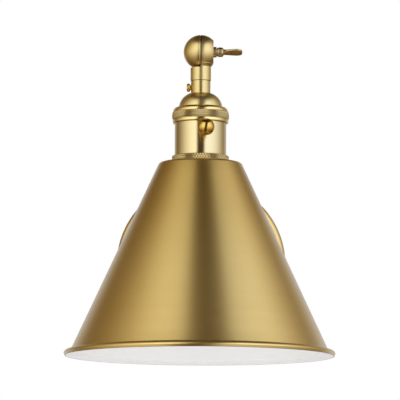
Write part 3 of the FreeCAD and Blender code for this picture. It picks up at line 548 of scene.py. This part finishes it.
def makeShade():
    # a closed profile: brass from the hole over the seat and shoulder, down the cone, out and down round the
    # lip, whose last lipTurn of height leans in by curl, then round the edge, and enamel back up. The inside
    # runs one sheet away from the outside, so the cone's inner line is sheet times the root of (1 + slope
    # squared) nearer the axis.
    size = shadeSizes
    top, rim = heightOf("shade"), heightOf("shade", False)
    sheet = size["sheet"]
    coneEnd = rim + size["lipDrop"]
    edgeTop = rim + size["edge"]
    shoulder = top - size["drop"]
    rimRadius = size["cone"] + size["lipReach"]
    edgeRadius = rimRadius - size["curl"]
    curlTop = edgeTop + size["lipTurn"]
    fall = size["drop"] / (size["shoulder"] - size["seat"])
    slope = (size["cone"] - size["shoulder"]) / (shoulder - coneEnd)
    across = sheet * math.sqrt(1 + slope * slope)
    drift = sheet * slope - across
    inset = -drift / (1 - slope * fall)
    shoulderCorner = (size["shoulder"], shoulder, size["shoulderRound"])
    upper = softened([(size["hole"], top, 0), (size["seat"], top, size["seatRound"]), shoulderCorner,
                      (size["cone"], coneEnd, 0)], 10)[:-1]
    lip = softened([shoulderCorner[:2] + (0,), (size["cone"], coneEnd, size["crease"]),
                    (rimRadius, coneEnd, size["lipRound"]), (rimRadius, curlTop, size["turnRound"]),
                    (edgeRadius, edgeTop, 0)], 12)[1:-1]
    cone = upper[-1] + np.linspace(0, 1, size["coneRows"])[1:-1, None] * (lip[0] - upper[-1])
    edge = arc((edgeRadius - sheet / 2, edgeTop), sheet / 2, 0, -180, 9)
    edge[:, 1] = edgeTop + (edge[:, 1] - edgeTop) * size["edge"] / (sheet / 2)
    inner = softened([(edgeRadius - sheet, edgeTop, 0), (rimRadius - sheet, curlTop, size["innerTurnRound"]),
                      (rimRadius - sheet, coneEnd - sheet, size["lipRound"] - sheet),
                      (size["cone"] + drift, coneEnd - sheet, size["crease"]),
                      (size["shoulder"] - inset, shoulder - sheet + fall * inset,
                       size["shoulderRound"] - sheet),
                      (size["seat"], top - sheet, 0), (size["hole"], top - sheet, 0)], 10)[1:]
    profile = np.concatenate([upper, cone, lip, edge, inner])
    enamelStart = len(profile) - len(inner) - size["enamelLap"]
    rowMaterials = (np.arange(len(profile)) >= enamelStart).astype(int)
    rowMaterials[-1] = 0  # the hole's own wall is bare brass
    grid = turnedGrid(profile, size["columns"], ballCentre)
    made = gridObject("coneShade", grid, [shadeBrass, enamel], rowMaterials=rowMaterials)
    stand(made, "satin_brass", "shade")


# Rings: a rolled diamond knurl on the two that are turned by hand, a milled edge on the one inside

knurlSizes = {"teeth": 66, "toothHeight": 1.6, "toothDepth": 0.5, "fade": 0.3, "leastWall": 0.6,
              "columnsPerTooth": 8}
ringSizes = {"lip": 16.55, "bore": 19.55, "lipDepth": 2.2, "beadRadius": 20.9, "bead": 3.6, "beadRound": 3.25,
             "groove": 0.35, "grooveRound": 0.12, "bandRadius": 21.3, "band": 5.4, "crown": 10.0,
             "crownRows": 50, "foot": 21.1, "footRound": 1.25}
clampSizes = {"bore": 19.55, "radius": 21.6, "topRadius": 21.2, "bevel": 0.4, "edge": 0.15, "bandRows": 34,
              "knurlUnder": 0.2, "knurlOver": 0.1}
lockSizes = {"bore": 19.55, "boreEdge": 0.2, "radius": 21.6, "topEdge": 0.3, "edge": 0.6, "teeth": 90,
             "toothDepth": 0.45, "milledWall": 0.35, "columnsPerTooth": 6}


def knurl(bore, low, high):
    # diamond knurl: two crossing families of grooves, where teeth times turns plus or minus height over
    # twice the tooth height is a whole number. Pyramids stand between them; the cut fades out at both edges.
    size = knurlSizes

    def relief(radius, height, angle):
        turn = angle * size["teeth"] / (2 * np.pi)
        rise = (height - low) / size["toothHeight"] / 2
        crest = np.minimum(waves(turn + rise), waves(turn - rise))
        fade = np.clip((height - low) / size["fade"], 0, 1) * np.clip((high - height) / size["fade"], 0, 1)
        onBand = fade * (radius > bore + size["leastWall"])
        return radius - onBand * size["toothDepth"] * (1 - crest)
    return relief


def knurledRing(name, node, profile, relief):
    # groove is how far each point lies nearer the axis than on the same ring without its knurl, over the depth
    columns = knurlSizes["teeth"] * knurlSizes["columnsPerTooth"]
    plain = turnedGrid(profile, columns, ballCentre)
    grid = turnedGrid(profile, columns, ballCentre, relief=relief)
    reach = [np.hypot(form[..., 0] - ballCentre[0], form[..., 1] - ballCentre[1]) for form in (plain, grid)]
    groove = np.clip((reach[0] - reach[1]) / (knurlSizes["toothDepth"] * mm), 0, 1)
    made = gridObject(name, grid, [knurlBrass], sharp="toothed", groove=groove)
    stand(made, "satin_brass", node)


def makeCapRing():
    # a bead, a knurled band crowned to a circle's arc, and a foot, over a bore that ends under an inner lip
    size = ringSizes
    top, low = heightOf("cap_ring"), heightOf("cap_ring", False)
    beadEnd = top - size["bead"]
    bandTop = beadEnd - size["groove"]
    bandEnd = bandTop - size["band"]
    grooveRadius = size["beadRadius"] - size["groove"]
    middle = (bandTop + bandEnd) / 2
    reach = math.degrees(math.asin(size["band"] / 2 / size["crown"]))
    crownCentre = (size["bandRadius"] - size["crown"] * math.cos(math.radians(reach)), middle)
    upper = softened([(size["lip"], top, 0), (size["beadRadius"], top, size["beadRound"]),
                      (size["beadRadius"], beadEnd, size["grooveRound"]), (grooveRadius, bandTop, 0)], 10)[:-1]
    crown = arc(crownCentre, size["crown"], reach, -reach, size["crownRows"])
    lower = softened([(size["bore"], top - size["lipDepth"], 0), (grooveRadius, bandEnd, 0),
                      (size["foot"], bandEnd - size["groove"], size["grooveRound"]),
                      (size["foot"], low, size["footRound"]), (size["bore"], low, 0)], 8)[1:]
    inside = np.array([(size["bore"], top - size["lipDepth"]), (size["lip"], top - size["lipDepth"])])
    profile = np.concatenate([upper, [(grooveRadius, bandTop)], crown, lower, inside])
    knurledRing("capRing", "cap_ring", profile, knurl(size["bore"], bandEnd, bandTop))


def makeClampRing():
    # a straight knurled band under a small bevel
    size = clampSizes
    top, low = heightOf("clamp_ring"), heightOf("clamp_ring", False)
    bandTop = top - size["bevel"]
    upper = softened([(size["bore"], top, 0), (size["topRadius"], top, size["edge"]),
                      (size["radius"], bandTop, size["edge"]), (size["radius"], low, 0)], 4)[:-1]
    band = straight(size["radius"], np.linspace(upper[-1, 1], low + size["edge"], size["bandRows"]))
    lower = np.array([(size["radius"] - size["edge"], low), (size["bore"], low)])
    profile = np.concatenate([upper[:-1], band, lower])
    relief = knurl(size["bore"], low - size["knurlUnder"], bandTop + size["knurlOver"])
    knurledRing("clampRing", "clamp_ring", profile, relief)


def makeLockRing():
    # a flat ring with a milled rim
    size = lockSizes
    top, low = heightOf("lock_ring"), heightOf("lock_ring", False)
    profile = softened([(size["bore"], top, 0), (size["radius"], top, size["topEdge"]),
                        (size["radius"], low, size["edge"]), (size["bore"], low, size["boreEdge"])], 4)
    grid = turnedGrid(profile, size["teeth"] * size["columnsPerTooth"], ballCentre,
                      relief=milled(size, size["radius"] - size["milledWall"]))
    made = gridObject("lockRing", grid, [headBrass], sharp="toothed")
    stand(made, "satin_brass", "lock_ring")


makeShade()
makeCapRing()
makeClampRing()
makeLockRing()
print("shade and rings made")


# Thumb screw: places are along its axis from the ball's centre

thumbSizes = {"shank": 2.4, "tip": -8.6, "tipBevel": 0.8, "tipNarrow": 0.3, "shoulder": 12.0, "bead": 3.7,
              "beadEnd": 17.2, "beadPowers": (2.6, 2.2), "waist": 2.3, "waistEnd": 18.2, "paddleEnd": 31.6,
              "base": 4.6, "baseRound": 3.4, "spread": 7.0, "corner": 4.6, "thick": 1.2, "flare": 3.2,
              "slab": 0.42, "dish": 0.2, "dishEnd": 4.0, "pitch": 1.0, "threadDepth": 0.28, "threadEnd": 3.0,
              "threadFade": 0.5, "turn": -10.0, "columns": 72}


def crowded(count):
    # shares from 0 to 1 that crowd toward both ends: (1 - cosine of half a turn's share) over 2
    return (1 - np.cos(np.linspace(0, np.pi, count))) / 2


def makeThumbScrew():
    # sections across the screw's axis, closed by a point at each end. At x the section is
    # (halfWidth |cos a| ^ e, halfThick |sin a| ^ e): round on shank, bead and waist, a soft slab on the paddle,
    # whose half width is read off a pear-shaped outline. The slab is dished toward its middle, and the thread
    # is a wave of (x over pitch less turns) cut into the shank.
    size = thumbSizes
    beadLength, paddleLength = size["beadEnd"] - size["shoulder"], size["paddleEnd"] - size["waistEnd"]
    place = np.concatenate([
        [size["tip"]], np.linspace(size["tip"] + 0.02, size["shoulder"], 150),
        size["shoulder"] + beadLength * crowded(26)[1:],
        np.linspace(size["beadEnd"], size["waistEnd"], 8)[1:],
        size["waistEnd"] + paddleLength * crowded(72)[1:]])
    share = np.clip((place - size["shoulder"]) / beadLength, 0, 1)
    flat, full = size["beadPowers"]
    swell = (1 - np.abs(2 * share - 1) ** flat) ** (1 / full)
    barrel = size["shank"] + (size["bead"] - size["shank"]) * swell
    outline = softened([(size["waistEnd"], 0, 0), (size["waistEnd"], size["base"], size["baseRound"]),
                        (size["paddleEnd"], size["spread"], size["corner"]), (size["paddleEnd"], 0, 0)], 40)
    leaf = np.interp(place, outline[:, 0], outline[:, 1])
    endShare = np.clip((place - (size["paddleEnd"] - size["thick"])) / size["thick"], 0, 1)
    endRound = np.sqrt(np.clip(1 - endShare ** 2, 0, 1))
    onPaddle = np.clip((place - size["beadEnd"]) / size["flare"], 0, 1)
    onPaddle = onPaddle * onPaddle * (3 - 2 * onPaddle)
    slab = size["waist"] + (size["thick"] - size["waist"]) * onPaddle
    onBarrel = place < size["beadEnd"]
    halfWidth = np.where(onBarrel, barrel, np.maximum(size["waist"], leaf)) - (1 - endRound) * size["thick"]
    halfThick = np.where(onBarrel, barrel, slab) * endRound
    bevel = 1 - size["tipNarrow"] + size["tipNarrow"] * np.clip((place - size["tip"]) / size["tipBevel"], 0, 1)
    inside = (place > size["tip"]) * (place < size["paddleEnd"])
    halfWidth, halfThick = [(half * bevel * inside)[:, None] for half in (halfWidth, halfThick)]
    place, onPaddle = place[:, None], onPaddle[:, None]
    angle = np.linspace(0, 2 * np.pi, size["columns"], endpoint=False)[None]
    threadFade = np.clip((size["threadEnd"] - place) / size["threadFade"], 0, 1)
    cut = size["threadDepth"] * waves(place / size["pitch"] - angle / (2 * np.pi)) * threadFade
    cut = cut * (place > size["tip"])
    power = 1 - size["slab"] * onPaddle
    bentCos, bentSin = [np.sign(wave) * np.abs(wave) ** power for wave in (np.cos(angle), np.sin(angle))]
    across = (halfWidth - cut) * bentCos
    inward = 1 - (across / np.maximum(halfWidth, 1e-6)) ** 2
    dishFade = np.clip((size["paddleEnd"] - place) / size["dishEnd"], 0, 1)
    over = (halfThick - cut) * bentSin * (1 - size["dish"] * onPaddle * inward * dishFade)
    turn = math.radians(size["turn"])
    grid = np.stack([place + 0 * angle, across * math.cos(turn) - over * math.sin(turn),
                     across * math.sin(turn) + over * math.cos(turn)], axis=-1) * mm + ballCentre
    made = gridObject("thumbScrew", grid, [screwBrass], closeRows=False, sharp="screw")
    stand(made, "polished_brass", "thumb_screw")


makeThumbScrew()
print("thumb screw made")


# Threads

tubeThread = {"radius": 4.85, "bore": 3.2, "pitch": 0.94, "depth": 0.42, "leastWall": 0.4, "rowsPerTurn": 6,
              "columns": 48}
studThread = {**tubeThread, "radius": 2.0, "bore": 0.0, "pitch": 0.8, "depth": 0.34, "columns": 36}


def threadGrid(size, low, high, centre, axis):
    # a rod or tube whose outside is the radius less depth times a wave of (height over pitch less turns),
    # with the ends chamfered by one depth
    def bite(height):
        return np.clip(np.minimum(high - height, height - low) / size["depth"], 0, 1)

    def relief(radius, height, angle):
        crest = waves(height / size["pitch"] - angle / (2 * np.pi))
        return radius - (radius > size["bore"] + size["leastWall"]) * size["depth"] * (1 - crest) * bite(height)

    heights = np.linspace(high, low, int((high - low) / size["pitch"] * size["rowsPerTurn"]))
    outer = np.stack([size["radius"] - size["depth"] * (1 - bite(heights)), heights], axis=1)
    profile = np.concatenate([[(size["bore"], high)], outer, [(size["bore"], low)]])
    return turnedGrid(profile, size["columns"], centre, axis, relief)


def makeThreads():
    low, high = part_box("arm_nipple")
    grid = threadGrid(tubeThread, low.y / mm, high.y / mm, wallCentre, "Y")
    stand(gridObject("armNipple", grid, [zincSteel], sharp="toothed"), "zinc_steel", "arm_nipple")
    grid = threadGrid(tubeThread, heightOf("neck_nipple", False), heightOf("neck_nipple"), ballCentre, "Z")
    stand(gridObject("neckNipple", grid, [zincSteel], sharp="toothed"), "zinc_steel", "neck_nipple")
    low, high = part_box("plate_studs")
    side = high.x - studThread["radius"] * mm
    pair = [threadGrid(studThread, low.y / mm, high.y / mm, np.array((place, 0, 0)), "Y")
            for place in (side, -side)]
    stand(joinGrids("plateStuds", pair, [zincSteel]), "zinc_steel", "plate_studs")


capNutSizes = {"radius": 4.2, "bore": 2.05, "wall": 1.2, "boreCone": 0.8, "skirt": 3.6, "backEdge": 0.3,
               "frontEdge": 0.25, "step": 0.35, "domeRows": 14, "teeth": 26, "toothDepth": 0.3,
               "columnsPerTooth": 6}


def makeCapNuts():
    # skirt with straight grooves, then a dome: radius times the root of (1 - share of the way up, squared)
    size = capNutSizes
    low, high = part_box("plate_cap_nuts")
    front, back = low.y / mm, high.y / mm
    side = high.x - size["radius"] * mm
    dome = np.linspace(0, 1, size["domeRows"])
    reach = size["radius"] - size["step"]
    domeBase = back - size["skirt"]
    domeRows = np.stack([reach * np.sqrt(1 - dome ** 2), domeBase + (front - domeBase) * dome], axis=1)
    skirt = softened([(size["bore"], back, 0), (size["radius"], back, size["backEdge"]),
                      (size["radius"], domeBase, size["frontEdge"]), (reach, domeBase, 0)], 4)
    boreEnd = front + size["wall"]
    bore = [(0, boreEnd), (size["bore"], boreEnd + size["boreCone"])]
    profile = np.concatenate([bore, skirt, domeRows[1:]])
    profile[-1, 0] = 0
    pair = [turnedGrid(profile, size["teeth"] * size["columnsPerTooth"], np.array((place, 0, 0)), "Y",
                       milled(size, reach + 0.02)) for place in (side, -side)]
    stand(joinGrids("plateCapNuts", pair, [capNutBrass]), "polished_brass", "plate_cap_nuts")


makeThreads()
makeCapNuts()
print("threads and cap nuts made")


# Socket

shellSizes = {"radius": 19.5, "sheet": 0.6, "edge": 0.15, "threadUnder": 1.0, "pitch": 2.1, "rowsPerTurn": 10,
              "threadDepth": 0.34, "threadFades": (2.0, 1.5), "threadEnd": 0.3, "keyHole": 3.35,
              "keyHoleReach": (14.0, 24.0), "columns": 160}
cupSizes = {"bore": 13.4, "sheet": 0.5, "hole": 6.5, "corner": 3.0, "wallStart": 0.6, "wallRows": 64,
            "pitch": 3.63, "swell": 0.75, "threadStart": 1.0, "threadEnd": 1.4, "threadFades": (2.0, 1.2),
            "columns": 120}


def makeSocketShell():
    # a straight tube; below the shade ring its outside falls by the thread depth times a squared sine of
    # (height over pitch less turns). The key's hole is cut through with a turned plug.
    size = shellSizes
    top, low = heightOf("socket_shell"), heightOf("socket_shell", False)
    threadTop = heightOf("clamp_ring") - size["threadUnder"]
    edgeTop = low + size["edge"]
    threadRows = int((threadTop - low) / size["pitch"] * size["rowsPerTurn"])
    heights = np.concatenate([np.linspace(top, threadTop, 12), np.linspace(threadTop, edgeTop, threadRows)[1:]])
    inner = size["radius"] - size["sheet"]
    edge = arc((size["radius"] - size["sheet"] / 2, edgeTop), size["sheet"] / 2, 0, -180, 5)[1:]
    edge[:, 1] = edgeTop + (edge[:, 1] - edgeTop) / 2
    profile = np.concatenate([straight(size["radius"], heights), edge, [(inner, top)]])

    def relief(radius, height, angle):
        upperFade, lowerFade = size["threadFades"]
        fade = (np.clip((threadTop - height) / upperFade, 0, 1)
                * np.clip((height - low - size["threadEnd"]) / lowerFade, 0, 1))
        wave = rolledWave(size["pitch"], height, angle)
        return radius - (radius > size["radius"] - 0.01) * size["threadDepth"] * wave * fade

    grid = turnedGrid(profile, size["columns"], ballCentre, relief=relief)
    made = gridObject("socketShell", grid, [shellBrass])
    near, far = size["keyHoleReach"]
    hole = np.array([(0, -far), (size["keyHole"], -far), (size["keyHole"], -near), (0, -near)])
    plug = gridObject("keyPlug", turnedGrid(hole, 48, np.zeros(3), "Y"), [shellBrass], closeRows=False)
    axis = np.array(joints["key_turn"]["axis"])
    plug.data.transform(Vector((0, -1, 0)).rotation_difference(Vector(axis)).to_matrix().to_4x4())
    plug.data.transform(Matrix.Translation(Vector(keyCentre)))
    cutWith(made, plug)
    stand(made, "satin_brass", "socket_shell")


def makeLampCup():
    # rolled thread: both sides of the sheet swell outward by a squared sine of (height over pitch less turns)
    size = cupSizes
    top, low = heightOf("screw_shell"), heightOf("screw_shell", False)
    outside = size["bore"] + size["sheet"]
    wall = np.linspace(top - size["corner"] - size["wallStart"], low, size["wallRows"] + 2)[1:-1]
    outer = softened([(size["hole"], top, 0), (outside, top, size["corner"] + size["sheet"]),
                      (outside, low, 0)], 6)[:-1]
    inner = softened([(size["bore"], low, 0), (size["bore"], top - size["sheet"], size["corner"]),
                      (size["hole"], top - size["sheet"], 0)], 6)[1:]
    profile = np.concatenate([outer, straight(outside, wall), [(outside, low), (size["bore"], low)],
                              straight(size["bore"], wall[::-1]), inner])

    def relief(radius, height, angle):
        upperFade, lowerFade = size["threadFades"]
        fade = (np.clip((top - size["corner"] - size["threadStart"] - height) / upperFade, 0, 1)
                * np.clip((height - low - size["threadEnd"]) / lowerFade, 0, 1))
        return radius + size["swell"] * rolledWave(size["pitch"], height, angle) * fade

    grid = turnedGrid(profile, size["columns"], ballCentre, relief=relief)
    stand(gridObject("lampCup", grid, [contactMetal]), "contact_metal", "screw_shell")


makeSocketShell()
makeLampCup()
print("socket made")


# Stage, lamps and camera

studio = {"floorHeight": -0.42, "floorSize": 8.0, "floorTone": (0.885, 0.885, 0.875, 1), "floorRoughness": 0.9,
          "lampDistance": 2.0, "lampTurn": 49.0, "lampRise": 24.0, "lampWidth": 2.3, "lampHeight": 2.2,
          "lampPower": 2.5}
# what the world shows: soft fill for matt things, then the room that metal sees. Pairs are limits between
# which a part of the room fades in or out, lean, turn and twist tilt these limits, loss and share are weights.
room = {"soft": 1.10, "dark": (0.060, 0.035, 0.015), "leftPanel": (1.40, 1.39, 1.31),
        "rightPanel": (1.30, 1.35, 1.47), "panelsMeet": (-0.1, 0.1), "falloff": (1.0, 1.14, 1.38),
        "gap": (0.19, 0.36), "gapLean": 0.155, "top": (0.72, 0.86), "topLean": 0.045,
        "low": (-0.75, 0.2), "floor": (-1.6, -0.4), "floorShare": 0.36,
        "side": (-1.0, 0.9), "sideLean": 0.10, "sideTwist": 0.5, "sideLoss": 0.90, "leastLevel": 0.05,
        "behind": (0.48, 0.95), "behindLow": (-0.35, -0.1), "behindTurn": 0.05, "behindLean": 0.25,
        "backdrop": (0.68, 0.68, 0.71, 1)}
cameraSizes = {"lens": 288.0, "sensor": 36.0, "sight": 50.0, "place": (0.016, -2.545, -0.2547), "pitch": 6.9,
               "turn": 0.386, "roll": 0.25}


def makeFloor():
    mesh = bpy.data.meshes.new("floor")
    half = studio["floorSize"] / 2
    height = studio["floorHeight"]
    corners = [(-half, -half, height), (half, -half, height), (half, half, height), (-half, half, height)]
    mesh.from_pydata(corners, [], [(0, 1, 2, 3)])
    floor = bpy.data.objects.new("floor", mesh)
    bpy.context.scene.collection.objects.link(floor)
    material, graph = newMaterial("pale_floor")
    finishMaterial(graph, {"Base Color": studio["floorTone"], "Roughness": studio["floorRoughness"]})
    mesh.materials.append(material)
    floor.visible_glossy = False


def makeLamp(name, turn):
    # a soft box that looks at the light's middle from turn degrees right of the camera's side
    light = bpy.data.lights.new(name, "AREA")
    light.shape = "RECTANGLE"
    light.size = studio["lampWidth"]
    light.size_y = studio["lampHeight"]
    light.energy = studio["lampPower"]
    lamp = bpy.data.objects.new(name, light)
    rise, side = math.radians(studio["lampRise"]), math.radians(turn)
    away = Vector((math.sin(side) * math.cos(rise), -math.cos(side) * math.cos(rise), math.sin(rise)))
    lamp.location = Vector((0, ballCentre[1], 0)) + away * studio["lampDistance"]
    lamp.rotation_euler = away.to_track_quat("Z", "Y").to_euler()
    lamp.visible_camera = False
    lamp.visible_glossy = False
    bpy.context.scene.collection.objects.link(lamp)


def makeWorld():
    # white for the camera and soft fill for matt things. Metal sees a warm dim room with a wide soft box on
    # each side and a gap between them. Their light ends under a dark ceiling, fades out downward, with a weaker
    # share that reaches the floor, and fades toward the back, sooner low on the right and high on the left.
    # A half-lit backdrop stands behind the object. A box's share s of the light falls off as s to a power of
    # its own for red, green and blue, so its edge is warmer.
    world = bpy.data.worlds.new("studio")
    world.use_nodes = True
    graph = Graph(world.node_tree)
    path = graph.add("ShaderNodeLightPath")
    seen = graph.wire(path, "Is Camera Ray").atLeast(graph.wire(path, "Is Transmission Ray"))
    direction = graph.number("ShaderNodeTexCoord", None, None, "Generated")
    right, back, up = graph.axes(direction)
    gap = (right - up * room["gapLean"]).unsigned().step(*room["gap"])
    height = up.step(*room["low"]) * (1 - room["floorShare"]) + up.step(*room["floor"]) * room["floorShare"]
    height = height * (1 - (up + right * room["topLean"]).step(*room["top"]))
    level = ((right * right + back * back) ** 0.5).atLeast(room["leastLevel"])
    twist = (right * up * -room["sideTwist"]).atLeast(0)
    aside = (back - right * room["sideLean"] + twist) / level
    share = gap * height * (1 - aside.step(*room["side"]) * room["sideLoss"])
    panel = graph.blend(right.step(*room["panelsMeet"]), room["leftPanel"] + (1,), room["rightPanel"] + (1,))
    tints = graph.add("ShaderNodeSeparateColor", None, {"Color": panel})
    lit = [dark + share ** power * (graph.wire(tints, place) - dark)
           for place, (dark, power) in enumerate(zip(room["dark"], room["falloff"]))]
    boxes = graph.number("ShaderNodeCombineColor", None, dict(zip(("Red", "Green", "Blue"), lit)))
    behind = back + right * room["behindTurn"] - up * room["behindLean"]
    behind = behind.step(*room["behind"]) * up.step(*room["behindLow"])
    metalSees = graph.blend(behind, boxes, room["backdrop"])
    fill = graph.blend(graph.wire(path, "Is Glossy Ray"), (room["soft"],) * 3 + (1,), metalSees)
    shown = graph.blend(seen, fill, (1, 1, 1, 1))
    ground = graph.add("ShaderNodeBackground", None, {"Color": shown, "Strength": 1.0})
    graph.add("ShaderNodeOutputWorld", None, {"Surface": graph.wire(ground, "Background")})
    world.cycles.sampling_method = "NONE"
    bpy.context.scene.world = world


def makeCamera():
    # the camera's own turn about its line of sight comes last
    camera = bpy.data.cameras.new("camera")
    camera.lens = cameraSizes["lens"]
    camera.sensor_width = cameraSizes["sensor"]
    camera.clip_end = cameraSizes["sight"]
    aim = Euler((math.radians(90 + cameraSizes["pitch"]), 0, math.radians(cameraSizes["turn"]))).to_matrix()
    holder = bpy.data.objects.new("camera", camera)
    holder.location = cameraSizes["place"]
    holder.rotation_euler = (aim @ Matrix.Rotation(math.radians(cameraSizes["roll"]), 3, "Z")).to_euler()
    bpy.context.scene.collection.objects.link(holder)
    bpy.context.scene.camera = holder


makeFloor()
makeLamp("lampLeft", -studio["lampTurn"])
makeLamp("lampRight", studio["lampTurn"])
makeWorld()
makeCamera()
bpy.context.scene.view_settings.view_transform = "Standard"
print("stage made")
